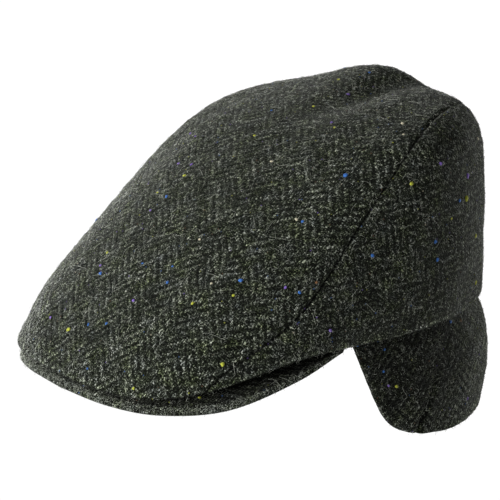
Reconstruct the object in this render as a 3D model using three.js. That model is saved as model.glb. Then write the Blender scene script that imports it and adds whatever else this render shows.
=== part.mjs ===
// Flat cap of herringbone tweed with a fold-down ear flap, worn with the flap down. Millimetres.
// +Z is up, -Y is the wearer's front and +X is the wearer's left side.
// The origin is the middle of the head opening, level with the crown's lower edge over the ears.
import * as THREE from "three";
import { mergeVertices } from "three/addons/utils/BufferGeometryUtils.js";

// Driving dimensions
const clothThickness = 2; // tweed with its fused backing
const hemThickness = 2; // the turned-in edge adds this much along the crown's lower edge
const hemHeight = 9; // the turned-in edge thins to nothing this far up
const hemTilt = 0.3; // how much the hem's underside climbs inwards, for each millimetre
const seamGap = 0.6; // clear slit between two panels at a seam
const peakThickness = 4; // stiff board between two layers of tweed
const peakEndThickness = 2; // where the board runs out at the temples
const peakCrown = 1.5; // how far the peak's middle stands above the straight line from head to edge
const flapThickness = 3.2; // two layers of tweed, quilted together
const flapTuck = 11; // how far the flap goes up inside the crown
const flapInset = 5.2; // the flap's outer face lies this far inside the crown's edge, just clear of the hem
const bulgeRise = 0.85; // below 1, the flap swells soonest just under the crown's edge
const apex = { x: 0, y: 40, z: 106 }; // highest point of the crown

// Crown ribs, from the front centre (first row) round the wearer's left side to the back centre (last row).
// The edge columns place the crown's lower edge. Each later pair is a point further up the rib: how far out it
// reaches, as a share of the plan distance from apex to edge, and its height.
const ribColumns = [
  "edgeX", "edgeY", "edgeZ", "lowReach", "lowHeight", "midReach", "midHeight",
  "shoulderReach", "shoulderHeight", "topReach", "topHeight",
];
const ribRows = [
  [0, -147, -13, 0.93, 9, 0.78, 38, 0.55, 72, 0.27, 98],
  [34, -144, -13, 0.935, 9, 0.785, 37, 0.555, 71, 0.275, 98],
  [63, -135, -12, 0.945, 8, 0.8, 35, 0.58, 69, 0.3, 97],
  [79, -109, -7, 0.98, 9, 0.85, 36, 0.63, 70, 0.34, 97],
  [87, -74, 0, 1.01, 12, 0.94, 41, 0.73, 75, 0.39, 98],
  [88, -30, 0, 1.03, 18, 0.98, 51, 0.81, 83, 0.44, 99],
  [86, 20, 0, 1.03, 22, 1.01, 56, 0.89, 91, 0.5, 102],
  [66, 66, 0, 1.01, 24, 1.0, 58, 0.91, 92, 0.52, 104],
  [38, 90, 0, 1.01, 26, 1.0, 60, 0.92, 90, 0.55, 104],
  [0, 99, 0, 1.01, 26, 1.0, 60, 0.92, 90, 0.56, 104],
];
const lastRib = ribRows.length - 1;

// Seam between the top panel and the side panels: how far up each rib it lies, 0 at the edge and 1 at the apex.
// Ribs in front of seamStart have no side panel.
const seamStart = 2.6;
const sideTip = 0.04; // the side panels begin this much further round than the seam
const seamRise = [
  { rib: 2.6, share: 0 },
  { rib: 3, share: 0.12 },
  { rib: 4, share: 0.29 },
  { rib: 5, share: 0.48 },
  { rib: 6, share: 0.67 },
  { rib: 7, share: 0.7 },
  { rib: 8, share: 0.65 },
  { rib: 9, share: 0.63 },
];

// Ear flap, from its front edge at the temple to the back centre: how far it hangs below the crown's edge and how
// far its middle bulges out.
const flapRows = [
  { rib: 4.87, drop: 1, bulge: 0, flare: 0 },
  { rib: 5.08, drop: 21, bulge: 0.5, flare: 0 },
  { rib: 5.3, drop: 41, bulge: 1, flare: 0 },
  { rib: 5.54, drop: 53, bulge: 1.5, flare: 0 },
  { rib: 6, drop: 60, bulge: 3, flare: 1 },
  { rib: 6.6, drop: 62, bulge: 5, flare: 5 },
  { rib: 7.5, drop: 59, bulge: 6, flare: 6 },
  { rib: 9, drop: 54, bulge: 6, flare: 5 },
];

// Peak, from the front centre to its end at the temple: the outline of its outer edge, on the upper face.
const peakEnd = 4.65;
const peakRows = [
  { rib: 0, outX: 0, outY: -152.5, outZ: -16 },
  { rib: 1, outX: 35.5, outY: -149, outZ: -16 },
  { rib: 2, outX: 62, outY: -136.5, outZ: -15.5 },
  { rib: 3, outX: 81.5, outY: -111.5, outZ: -13 },
  { rib: 4, outX: 87, outY: -74, outZ: -6 },
  { rib: 4.65, outX: 86.5, outY: -46, outZ: 0.4 },
];
const headHalfWidth = 80;
const headHalfLength = 98;
const headHeight = 1; // the peak's inner edge above the rim plane
const peakSweep = 70; // degrees round the head from the front centre to the peak's end

// Soft folds in the crown: the plan place of the middle, the direction in degrees from straight ahead, how long and
// how wide it is, and how high, with a valley below zero.
const folds = [
  { x: 10, y: 48, turn: 8, length: 48, width: 15, height: -4.5 },
  { x: -18, y: 74, turn: 0, length: 30, width: 30, height: 6.5 },
];

// Cubic B-spline weights of four neighbouring control values at t between the middle two.
function splineWeights(t) {
  const s = 1 - t;
  return [s * s * s, 3 * t * t * t - 6 * t * t + 4, 3 * s * s * s - 6 * s * s + 4, t * t * t].map((w) => w / 6);
}

// Control values whose B-spline passes through the given values. The neighbour function says what lies past an end.
function controlsThrough(values, neighbour) {
  const controls = values.slice();
  for (let round = 0; round < 40; round++)
    for (let i = 0; i < values.length; i++)
      controls[i] = (6 * values[i] - neighbour(controls, i - 1) - neighbour(controls, i + 1)) / 4;
  return controls;
}

function splineAt(controls, neighbour, position) {
  const start = Math.floor(position);
  const weights = splineWeights(position - start);
  return weights.reduce((sum, w, k) => sum + w * neighbour(controls, start - 1 + k), 0);
}

// A column of the rib table is even about the front and back centre lines, except edgeX, which changes sign.
function mirrored(sign) {
  return (controls, i) => {
    const period = 2 * lastRib;
    const wrapped = ((i % period) + period) % period;
    return wrapped <= lastRib ? controls[wrapped] : sign * controls[period - wrapped];
  };
}
const ribNeighbour = ribColumns.map((name) => mirrored(name === "edgeX" ? -1 : 1));
const ribControls = ribColumns.map((name, c) => controlsThrough(ribRows.map((row) => row[c]), ribNeighbour[c]));

// Along a rib, reach is odd and height even about the apex, and both run straight on past the edge.
function alongRib(sign) {
  return (controls, i) => {
    const top = controls.length - 1;
    if (i < 0) return 2 * controls[0] - controls[1];
    return i <= top ? controls[i] : sign * controls[2 * top - i];
  };
}
const reachNeighbour = alongRib(-1);
const heightNeighbour = alongRib(1);

const foldDepth = 30; // the folds fade this far below the apex
const ribCache = new Map();
function ribAt(rib) {
  if (!ribCache.has(rib)) {
    const v = Object.fromEntries(ribColumns.map((name, c) => [name, splineAt(ribControls[c], ribNeighbour[c], rib)]));
    const reach = [1, v.lowReach, v.midReach, v.shoulderReach, v.topReach, 0];
    const height = [v.edgeZ, v.lowHeight, v.midHeight, v.shoulderHeight, v.topHeight, apex.z];
    ribCache.set(rib, {
      ...v,
      reach: controlsThrough(reach, reachNeighbour),
      height: controlsThrough(height, heightNeighbour),
    });
  }
  return ribCache.get(rib);
}

// How much of a fold's height a point of the plan gets.
function foldShare(fold, x, y) {
  const turn = THREE.MathUtils.degToRad(fold.turn);
  const along = (x - fold.x) * Math.sin(turn) - (y - fold.y) * Math.cos(turn);
  const across = (x - fold.x) * Math.cos(turn) + (y - fold.y) * Math.sin(turn);
  return Math.exp(-((along / fold.length) ** 2) - (across / fold.width) ** 2);
}

// A point on the crown's outer face. rib runs from 0 at the front centre to lastRib at the back centre, negative on
// the wearer's right; rise runs from 0 at the edge to 1 at the apex.
function crownPoint(rib, rise) {
  const r = ribAt(rib);
  const position = rise * (r.reach.length - 1);
  const reach = splineAt(r.reach, reachNeighbour, position);
  const height = splineAt(r.height, heightNeighbour, position);
  const p = new THREE.Vector3(
    apex.x + reach * (r.edgeX - apex.x),
    apex.y + reach * (r.edgeY - apex.y),
    height,
  );
  const fromTop = (apex.z - height) / foldDepth;
  const fade = Math.exp(-fromTop * fromTop);
  for (const fold of folds) p.z += fade * fold.height * foldShare(fold, p.x, p.y);
  return p;
}

// Smooth reading of a table with a rib column, a Catmull-Rom curve through its rows, the same on both sides.
function smoothTable(table, column, rib) {
  const at = THREE.MathUtils.clamp(Math.abs(rib), table[0].rib, table[table.length - 1].rib);
  let i = 1;
  while (i < table.length - 1 && table[i].rib < at) i++;
  const slope = (k) => {
    const lower = table[Math.max(k - 1, 0)];
    const upper = table[Math.min(k + 1, table.length - 1)];
    return (upper[column] - lower[column]) / (upper.rib - lower.rib);
  };
  const a = table[i - 1];
  const b = table[i];
  const span = b.rib - a.rib;
  const t = (at - a.rib) / span;
  const ends = [slope(i - 1) * span, slope(i) * span];
  return (
    a[column] * (2 * t ** 3 - 3 * t ** 2 + 1) + ends[0] * (t ** 3 - 2 * t ** 2 + t) +
    b[column] * (3 * t ** 2 - 2 * t ** 3) + ends[1] * (t ** 3 - t ** 2)
  );
}

// Closed solid from an outer and an inner sheet of points on the same grid. A column or row whose points coincide
// closes by itself, because merged vertices leave no face there.
function solidBetween(outer, inner, material, name, wrap = false) {
  const columns = outer.length;
  const rows = outer[0].length;
  const positions = [];
  const quad = (a, b, c, d) => positions.push(...a, ...b, ...c, ...a, ...c, ...d);
  const flat = (sheet) => sheet.map((column) => column.map((p) => p.toArray()));
  const o = flat(outer);
  const n = flat(inner);
  const last = wrap ? columns : columns - 1;
  for (let i = 0; i < last; i++) {
    const k = (i + 1) % columns;
    for (let j = 0; j < rows - 1; j++) {
      quad(o[i][j], o[k][j], o[k][j + 1], o[i][j + 1]);
      quad(n[i][j], n[i][j + 1], n[k][j + 1], n[k][j]);
    }
    quad(o[i][0], n[i][0], n[k][0], o[k][0]);
    quad(o[i][rows - 1], o[k][rows - 1], n[k][rows - 1], n[i][rows - 1]);
  }
  if (!wrap)
    for (let j = 0; j < rows - 1; j++) {
      quad(o[0][j], o[0][j + 1], n[0][j + 1], n[0][j]);
      quad(o[last][j], n[last][j], n[last][j + 1], o[last][j + 1]);
    }
  const geometry = new THREE.BufferGeometry();
  geometry.setAttribute("position", new THREE.Float32BufferAttribute(positions, 3));
  const merged = mergeVertices(geometry, 1e-3);
  const kept = [];
  const index = merged.index.array;
  for (let i = 0; i < index.length; i += 3) {
    const [a, b, c] = [index[i], index[i + 1], index[i + 2]];
    if (a !== b && b !== c && c !== a) kept.push(a, b, c);
  }
  merged.setIndex(kept);
  merged.computeVertexNormals();
  const mesh = new THREE.Mesh(merged, material);
  mesh.name = name;
  return mesh;
}

// Outward unit normal of a sheet given as a function of two parameters.
function normalOf(sheet, u, v, du, dv) {
  const alongU = sheet(u + du, v).sub(sheet(u - du, v));
  const alongV = sheet(u, v + dv).sub(sheet(u, v - dv));
  return alongU.cross(alongV).normalize();
}

function crownNormal(rib, rise) {
  const top = Math.min(rise, 0.985);
  return normalOf(crownPoint, rib, top, 0.02, 0.01);
}

// A point on the crown's inner face: one cloth in from the outer face, and thicker along the hem, whose underside
// is square to the wall or climbs inwards.
function innerCrownPoint(rib, rise) {
  const p = crownPoint(rib, rise);
  const hem = Math.max(0, 1 - (p.z - ribAt(rib).edgeZ) / hemHeight);
  const inward = crownNormal(rib, rise).negate();
  const level = new THREE.Vector3(inward.x, inward.y, 0).normalize().setZ(hemTilt);
  inward.lerp(level, hem);
  return p.addScaledVector(inward, clothThickness + hemThickness * hem);
}

// How far one millimetre is, as a share of the rib, near a point of the crown.
function risePerMillimetre(rib, rise) {
  const step = 0.01;
  return step / crownPoint(rib, rise + step).distanceTo(crownPoint(rib, rise));
}

// How far one millimetre along the crown's edge is, in ribs.
function ribsPerMillimetre(rib) {
  const step = 0.01;
  return step / crownPoint(rib - step, 0).distanceTo(crownPoint(rib, 0));
}

const tweed = new THREE.MeshStandardMaterial({ color: 0x3a3d37, roughness: 0.95, metalness: 0 });
const sideTweed = new THREE.MeshStandardMaterial({ color: 0x363933, roughness: 0.95, metalness: 0 });
const peakTweed = new THREE.MeshStandardMaterial({ color: 0x3d403a, roughness: 0.95, metalness: 0 });
const flapTweed = new THREE.MeshStandardMaterial({ color: 0x33362f, roughness: 0.95, metalness: 0 });

// Evenly spaced values from one number to another, both included.
const range = (count, from, to) => Array.from({ length: count + 1 }, (_, i) => from + ((to - from) * i) / count);

function seamShare(rib) {
  return Math.abs(rib) <= seamStart ? 0 : smoothTable(seamRise, "share", rib);
}

// The ribs where panels have a column of points, from the front centre to the back centre. Neighbouring panels share
// them, so that a seam's two edges run side by side.
const tipRib = seamStart + sideTip;
const frontRibs = range(10, 0, 2.5);
const seamRibs = [tipRib, ...range(25, 2.75, lastRib)];

// Top panel: everything above the seams, a closed ring of columns that meet at the apex.
function topPanel() {
  const half = [...frontRibs, ...seamRibs];
  const leftToRight = [...half.slice(1, -1).reverse().map((rib) => -rib), ...half];
  const outer = [];
  const inner = [];
  for (const rib of leftToRight) {
    const seam = seamShare(rib);
    const start = seam > 0 ? seam + (seamGap / 2) * risePerMillimetre(rib, seam) : 0;
    const rises = range(18, start, 1);
    const top = rises.pop();
    outer.push([...rises.map((rise) => crownPoint(rib, rise)), crownPoint(0, top)]);
    inner.push([...rises.map((rise) => innerCrownPoint(rib, rise)), innerApex()]);
  }
  return solidBetween(outer, inner, tweed, "top_panel", true);
}

function innerApex() {
  return crownPoint(0, 1).add(new THREE.Vector3(0, 0, -clothThickness));
}

// Side panel: from the crown's lower edge up to the seam, from near the front to the centre back. The right one is
// the left one's ribs with their sign changed, in the opposite order.
function sidePanel(side, name) {
  const back = lastRib - (seamGap / 2) * ribsPerMillimetre(lastRib);
  const ribs = [...seamRibs.slice(0, -1), back];
  const outer = [];
  const inner = [];
  for (const rib of side > 0 ? ribs : ribs.map((r) => -r).reverse()) {
    const seam = seamShare(rib);
    const rises = range(12, 0, seam - (seamGap / 2) * risePerMillimetre(rib, seam));
    outer.push(rises.map((rise) => crownPoint(rib, rise)));
    inner.push(rises.map((rise) => innerCrownPoint(rib, rise)));
  }
  return solidBetween(outer, inner, sideTweed, name);
}

// Outer face of the flap: just inside the hem at its top, hanging below the crown's edge. hang runs from 0 at its
// top to 1 at its lower edge.
function flapPoint(rib, hang) {
  const drop = smoothTable(flapRows, "drop", rib);
  const bulge = smoothTable(flapRows, "bulge", rib);
  const flare = smoothTable(flapRows, "flare", rib);
  const r = ribAt(rib);
  const step = 0.02;
  const next = ribAt(rib + step);
  const previous = ribAt(rib - step);
  const along = new THREE.Vector2(next.edgeX - previous.edgeX, next.edgeY - previous.edgeY).normalize();
  const z = flapTuck - (flapTuck + drop) * hang;
  const below = Math.max(0, -z) / drop;
  const out = bulge * Math.sin(Math.PI * below ** bulgeRise) + flare * below - flapInset;
  return new THREE.Vector3(r.edgeX + along.y * out, r.edgeY - along.x * out, z + r.edgeZ);
}

function earFlap() {
  const frontEdge = range(8, flapRows[0].rib, 5.5);
  const half = [...frontEdge, ...seamRibs.filter((rib) => rib > 5.5)];
  const ribs = [...half, ...half.slice(0, -1).reverse().map((rib) => 2 * lastRib - rib)];
  const outer = [];
  const inner = [];
  for (const rib of ribs) {
    const at = rib <= lastRib ? rib : rib - 2 * lastRib;
    const hangs = range(9, 1, 0);
    outer.push(hangs.map((hang) => flapPoint(at, hang)));
    inner.push(
      hangs.map((hang) => {
        const inward = normalOf(flapPoint, at, hang, 0.02, 0.02);
        return flapPoint(at, hang).addScaledVector(inward, flapThickness);
      }),
    );
  }
  return solidBetween(outer, inner, flapTweed, "ear_flap");
}

// Upper face of the peak, a crescent from the forehead to its outer edge. reach runs from 0 to 1 between them.
function peakPoint(rib, reach) {
  const side = rib < 0 ? -1 : 1;
  const turn = THREE.MathUtils.degToRad((peakSweep * Math.abs(rib)) / peakEnd);
  const inside = new THREE.Vector3(
    side * headHalfWidth * Math.sin(turn),
    -headHalfLength * Math.cos(turn),
    headHeight,
  );
  const outside = new THREE.Vector3(
    side * smoothTable(peakRows, "outX", rib),
    smoothTable(peakRows, "outY", rib),
    smoothTable(peakRows, "outZ", rib),
  );
  const ends = Math.abs(rib) / peakEnd;
  const p = inside.lerp(outside, reach);
  p.z += peakCrown * (1 - ends * ends) * Math.sin(Math.PI * reach);
  return p;
}

// Peak: the board thins towards its ends, and its outer edge is half round.
function peak() {
  const reaches = [0, 0.15, 0.35, 0.55, 0.75, 0.88, 0.93, 0.97, 0.99, 1];
  const upper = [];
  const lower = [];
  for (const rib of range(36, -peakEnd, peakEnd)) {
    const ends = Math.abs(rib) / peakEnd;
    const thickness = peakThickness + (peakEndThickness - peakThickness) * ends ** 2;
    const width = peakPoint(rib, 0).distanceTo(peakPoint(rib, 1));
    const rounded = thickness / 2 / width;
    const faces = reaches.map((reach) => {
      const intoEdge = Math.max(0, (reach - 1 + rounded) / rounded);
      const half = (thickness / 2) * Math.sqrt(1 - intoEdge * intoEdge);
      const middle = peakPoint(rib, reach).add(new THREE.Vector3(0, 0, -thickness / 2));
      return [half, -half].map((up) => middle.clone().add(new THREE.Vector3(0, 0, up)));
    });
    upper.push(faces.map((pair) => pair[0]));
    lower.push(faces.map((pair) => pair[1]));
  }
  return solidBetween(lower, upper, peakTweed, "peak");
}

const cap = new THREE.Group();
cap.add(topPanel(), sidePanel(1, "side_panel_left"), sidePanel(-1, "side_panel_right"), earFlap(), peak());
export default cap;
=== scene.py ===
# Flat cap of dark herringbone tweed with its ear flap down, held up as on a head, in a white studio.
# Shapes are worked out in millimetres in the part's own frame, and become metres when a mesh is made.
import math
from functools import partial
import bpy
import numpy as np
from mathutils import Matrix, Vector
from mathutils.bvhtree import BVHTree


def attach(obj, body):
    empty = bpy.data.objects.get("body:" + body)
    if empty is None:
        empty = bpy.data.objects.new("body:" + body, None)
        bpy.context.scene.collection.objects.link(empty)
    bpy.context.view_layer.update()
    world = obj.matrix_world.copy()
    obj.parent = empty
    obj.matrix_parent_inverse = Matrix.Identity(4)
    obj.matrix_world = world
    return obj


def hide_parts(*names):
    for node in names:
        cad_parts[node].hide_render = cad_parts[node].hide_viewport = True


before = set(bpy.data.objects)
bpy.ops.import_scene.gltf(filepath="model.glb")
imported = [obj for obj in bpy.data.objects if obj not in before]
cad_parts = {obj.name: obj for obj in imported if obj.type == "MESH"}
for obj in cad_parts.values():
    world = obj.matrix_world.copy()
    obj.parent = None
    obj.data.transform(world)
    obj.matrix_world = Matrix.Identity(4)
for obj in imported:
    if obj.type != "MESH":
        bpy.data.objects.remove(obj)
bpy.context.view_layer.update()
mm = 0.001
farAway = 99  # mm, for places with no edge near them
photoSide = 500  # the photograph is this many pixels wide and high

view = {
    "azimuth": 50,  # degrees round from the front towards the wearer's left
    "elevation": 17,
    "distance": 950,  # from the middle of the head opening
    "pixelsPerMm": 1.89,  # at that distance
    "originAt": (302, 291),  # pixel where the middle of the head opening falls
}
focal = view["distance"] * view["pixelsPerMm"]  # of the camera, in pixels


def viewAxes():
    # unit vectors to the camera, to the picture's right and up the picture
    a, e = math.radians(view["azimuth"]), math.radians(view["elevation"])
    back = Vector((math.sin(a) * math.cos(e), -math.cos(a) * math.cos(e), math.sin(e)))
    right = Vector((math.cos(a), math.sin(a), 0))
    return back, right, back.cross(right)


def makeCamera():
    # stands back from the head opening and aims beside it, where the cap lies as in the photograph
    back, right, up = viewAxes()
    data = bpy.data.cameras.new("camera")
    data.sensor_width = 36
    data.lens = focal * data.sensor_width / photoSide
    data.clip_start, data.clip_end = 0.05, 60
    camera = bpy.data.objects.new("camera", data)
    bpy.context.scene.collection.objects.link(camera)
    camera.location = back * view["distance"] * mm
    sideways = (view["originAt"][0] - photoSide / 2) / focal
    downwards = (view["originAt"][1] - photoSide / 2) / focal
    aim = -back - right * sideways + up * downwards
    camera.rotation_mode = "QUATERNION"
    camera.rotation_quaternion = aim.to_track_quat("-Z", "Y")
    bpy.context.scene.camera = camera
    bpy.context.view_layer.update()
    return camera


camera = makeCamera()
print("camera placed")

# The crown's form: a rib for each row, front centre first, round the wearer's left side to the back centre.
# Columns: edge x, y, z, then reach and height of four points further up. Reach is a share of the way from
# the apex to the edge in plan.
crown = {
    "apex": (0, 40, 106),
    "ribs": [
        (0, -150.5, -14.5, 0.913, 9, 0.766, 38, 0.54, 72, 0.265, 98),
        (34.6, -147.3, -14.3, 0.918, 9, 0.771, 37, 0.545, 71, 0.27, 98),
        (63, -135, -12, 0.935, 8, 0.8, 35, 0.58, 69, 0.3, 97),
        (79, -109, -7, 0.972, 9, 0.85, 36, 0.63, 70, 0.34, 97),
        (87, -74, 0, 1.005, 12, 0.93, 40, 0.716, 74, 0.39, 98),
        (88, -30, 0, 1.03, 18, 0.98, 51.5, 0.82, 84.5, 0.44, 100),
        (86, 20, 0, 1.03, 22, 1.01, 56, 0.895, 92.2, 0.5, 102.5),
        (66, 66, 0, 1.0, 24, 0.985, 58, 0.9, 92, 0.52, 104),
        (38, 90, 0, 1.01, 26, 1.0, 60, 0.92, 90, 0.55, 104),
        (0, 99, 0, 1.01, 26, 1.0, 60, 0.92, 90, 0.56, 104),
    ],
    "folds": [  # plan x, y of the middle, degrees from straight ahead, length, width, height
        (10, 44, 8, 44, 12.5, -6),
        (-18, 74, 0, 30, 30, 7.6),
    ],
    "foldDepth": 30,  # the folds fade this far below the apex
    "lidFit": (0.58, 0.92),  # rises that the smooth lid round the apex is fitted to
    "lidEase": (0.66, 0.86),  # and those between which it takes over
    "slumpAt": (-62, -134, -10),  # one front corner hangs a little, and stands out
    "slumpReach": 26,
    "slumpDrop": 2.6,
    "leanReach": 34,
    "lean": 1.7,
    "leanWay": (-0.64, -0.77, 0),
    "cloth": 2.0,  # tweed with its fused backing
    "hem": 2.0,  # the turned-in edge adds this much
    "hemHeight": 9,
    "hemTilt": 0.3,  # climb of the hem's underside inwards, for each millimetre
    "hemCalm": (2, 14),  # the cloth's waves begin between these distances from the hem
    "seam": [  # rib, rise
        (2.6, 0), (3, 0.12), (4, 0.29), (5, 0.48), (6, 0.67), (7, 0.7), (8, 0.65), (9, 0.63),
    ],
    "seamStartGap": 0.012,  # ribs, from the seam's start to the side panel
    "grooveDepth": 1.5,  # the panels roll in to a seam, less where it is pressed flat towards the back
    "grooveWidth": 1.2,
    "pressedFrom": (6.2, 7.2),  # ribs
    "pressedTo": (8.1, 8.7),
    "pressedShare": 0.15,
    "puckerSpacing": 9,  # gathers along a seam
    "puckerDrift": 23,  # their spacing wanders over this length
    "puckerHeight": 0.22,
    "puckerReach": 6,
    "hand": [  # soft, lumpy cloth: height of the waves, their number, shortest and longest
        (0.3, 7, (24, 70)),
        (0.17, 40, (5, 10)),
    ],
    "topGrid": (340, 110),  # columns and rows
    "topGather": 1.8,  # brings the rows closer together at the seam
    "sideGrid": (190, 80),
    "sideGather": 1.15,  # brings the columns closer together at the seam's start
    "sideEase": 0.55,  # brings the rows closer together at the hem and the seam
}
lastRib = len(crown["ribs"]) - 1


def splineWeights(t):
    # cubic B-spline weights of four neighbours, t between the middle two
    s = 1 - t
    return np.stack([s**3, 3 * t**3 - 6 * t**2 + 4, 3 * s**3 - 6 * s**2 + 4, t**3], -1) / 6


def ringControls():
    # the ring of ribs, edge x changing sign on the wearer's right, each wave of it over its spline gain
    half = np.array(crown["ribs"], float)
    farSide = half[-2:0:-1] * np.array([-1] + [1] * (half.shape[1] - 1))
    ring = np.vstack([half, farSide])
    gain = (4 + 2 * np.cos(2 * np.pi * np.arange(len(ring)) / len(ring))) / 6
    return np.fft.ifft(np.fft.fft(ring, axis=0) / gain[:, None], axis=0).real


def ribInverse(sign):
    # spline controls of a rib's six heights or reaches, straight past the edge, even or odd about the apex
    rows = np.zeros((6, 6))
    for i in range(6):
        for k, weight in ((i - 1, 1), (i, 4), (i + 1, 1)):
            if k < 0:
                rows[i, :2] += (2 * weight, -weight)
            elif k > 5:
                rows[i, 10 - k] += sign * weight
            else:
                rows[i, k] += weight
    return np.linalg.inv(rows / 6)


ring = ringControls()
ribInverses = {sign: ribInverse(sign) for sign in (-1, 1)}


def ribColumns(rib):
    # the table's columns at any rib, from the four nearest rows of the ring
    start = np.floor(rib).astype(int)
    picks = (start[..., None] + np.arange(-1, 3)) % len(ring)
    return np.einsum("...k,...kc->...c", splineWeights(rib - start), ring[picks])


def alongRib(values, sign, rise):
    # B-spline through six values from edge to apex, read at rise
    controls = values @ ribInverses[sign].T
    before = 2 * controls[..., :1] - controls[..., 1:2]
    full = np.concatenate([before, controls, sign * controls[..., [4, 3]]], -1)
    position = rise * 5
    start = np.clip(np.floor(position).astype(int), 0, 5)
    picks = start[..., None] + np.arange(4)
    return (splineWeights(position - start) * np.take_along_axis(full, picks, -1)).sum(-1)


def bareCrown(rib, rise):
    # apex plus reach times the way out to the edge, at the spline's height
    rib, rise = np.broadcast_arrays(np.asarray(rib, float), np.asarray(rise, float))
    row = ribColumns(rib)
    ones = np.ones(rib.shape + (1,))
    reach = alongRib(np.concatenate([ones, row[..., 3::2], 0 * ones], -1), -1, rise)
    height = alongRib(np.concatenate([row[..., 2::2], crown["apex"][2] * ones], -1), 1, rise)
    apex = np.array(crown["apex"][:2])
    plan = apex + reach[..., None] * (row[..., :2] - apex)
    return np.concatenate([plan, height[..., None]], -1)


def powers(x, y):
    # products of plan coordinates up to the fourth power, in hundreds of millimetres
    return np.stack([(x / 100) ** i * (y / 100) ** j for i in range(5) for j in range(5 - i)], -1)


def fitTop():
    # least-squares height over the ring round the apex, a smooth lid for the place where the ribs meet
    p = bareCrown(np.linspace(-lastRib, lastRib, 145)[:, None], np.linspace(*crown["lidFit"], 18))
    flat = p.reshape(-1, 3)
    return np.linalg.lstsq(powers(flat[:, 0], flat[:, 1]), flat[:, 2], rcond=None)[0]


topFit = fitTop()


def smoothStep(low, high, x):
    # three t squared less two t cubed, where t is the share of the way from low to high
    t = np.clip((x - low) / (high - low), 0, 1)
    return t * t * (3 - 2 * t)


def crownPoint(rib, rise):
    # the ribs' surface, eased into the smooth lid near the apex, plus each fold's bell curve
    p = bareCrown(rib, rise)
    lid = smoothStep(*crown["lidEase"], np.broadcast_to(rise, p.shape[:-1]))
    p[..., 2] += lid * (powers(p[..., 0], p[..., 1]) @ topFit - p[..., 2])
    fade = np.exp(-(((crown["apex"][2] - p[..., 2]) / crown["foldDepth"]) ** 2))
    lift = 0
    for x, y, turn, length, width, height in crown["folds"]:
        s, c = math.sin(math.radians(turn)), math.cos(math.radians(turn))
        along = (p[..., 0] - x) * s - (p[..., 1] - y) * c
        across = (p[..., 0] - x) * c + (p[..., 1] - y) * s
        lift = lift + fade * height * np.exp(-((along / length) ** 2) - (across / width) ** 2)
    p[..., 2] += lift
    return p + slump(p, crown["lean"])


def slump(p, lean):
    # how far one front corner moves, in the crown and the peak: down by a bell curve, out by a wider one
    far = np.linalg.norm(p - np.array(crown["slumpAt"]), axis=-1)[..., None]
    down = np.exp(-((far / crown["slumpReach"]) ** 2)) * np.array([0, 0, -crown["slumpDrop"]])
    return down + np.exp(-((far / crown["leanReach"]) ** 2)) * lean * np.array(crown["leanWay"])


def unit(v):
    # each vector over its own length
    return v / np.maximum(np.linalg.norm(v, axis=-1, keepdims=True), 1e-12)


def normalOf(surface, u, v, du, dv):
    # cross product of the two small steps along a surface
    return unit(np.cross(surface(u + du, v) - surface(u - du, v), surface(u, v + dv) - surface(u, v - dv)))


def crownNormal(rib, rise):
    # small steps along and up the ribs, and just short of the apex, where the ribs meet
    return normalOf(crownPoint, rib, np.minimum(rise, 0.985), 0.02, 0.01)


def smoothTable(rows, column, at):
    # Catmull-Rom curve through a table's rows, read at the given places in its first column
    rows = np.array(rows, float)
    x, y = rows[:, 0], rows[:, column]
    at = np.clip(at, x[0], x[-1])
    low = np.maximum(np.arange(len(x)) - 1, 0)
    high = np.minimum(np.arange(len(x)) + 1, len(x) - 1)
    slope = (y[high] - y[low]) / (x[high] - x[low])
    i = np.clip(np.searchsorted(x, at), 1, len(x) - 1)
    span = x[i] - x[i - 1]
    t = (at - x[i - 1]) / span
    start = y[i - 1] * (2 * t**3 - 3 * t**2 + 1) + slope[i - 1] * span * (t**3 - 2 * t**2 + t)
    return start + y[i] * (3 * t**2 - 2 * t**3) + slope[i] * span * (t**3 - t**2)


def seamRise(rib):
    # where the seam crosses a rib, nought in front of its start
    at = np.abs(rib)
    return np.where(at <= crown["seam"][0][0], 0, smoothTable(crown["seam"], 1, at))


def clothHand(p):
    # sum of waves in random directions, slow ones and short ones, the same at one place on every panel
    rng = np.random.default_rng(4)
    total = np.zeros(p.shape[:-1])
    for height, count, span in crown["hand"]:
        for _ in range(count):
            wave = unit(rng.normal(size=3)) * 2 * np.pi / rng.uniform(*span)
            total += np.sin(p @ wave + rng.uniform(0, 2 * np.pi)) * height / math.sqrt(count)
    return total


def lengths(p, axis):
    # distance along one direction of a grid, nought at its start
    step = np.linalg.norm(np.diff(p, axis=axis), axis=-1)
    return np.insert(np.cumsum(step, axis=axis), 0, 0, axis=axis)


def edgeRound(distance, radius):
    # how far a half-round edge has drawn in at a distance from its tip
    inside = np.clip(radius - distance, 0, radius)
    return radius - np.sqrt(np.maximum(radius**2 - inside**2, 0))


def solidPowers(p):
    # products of the three coordinates up to the sixth power, in hundreds of millimetres
    x, y, z = (p[..., k] / 100 for k in range(3))
    orders = [(i, j, k) for i in range(7) for j in range(7 - i) for k in range(7 - i - j)]
    return np.stack([x**i * y**j * z**k for i, j, k in orders], -1)


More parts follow.
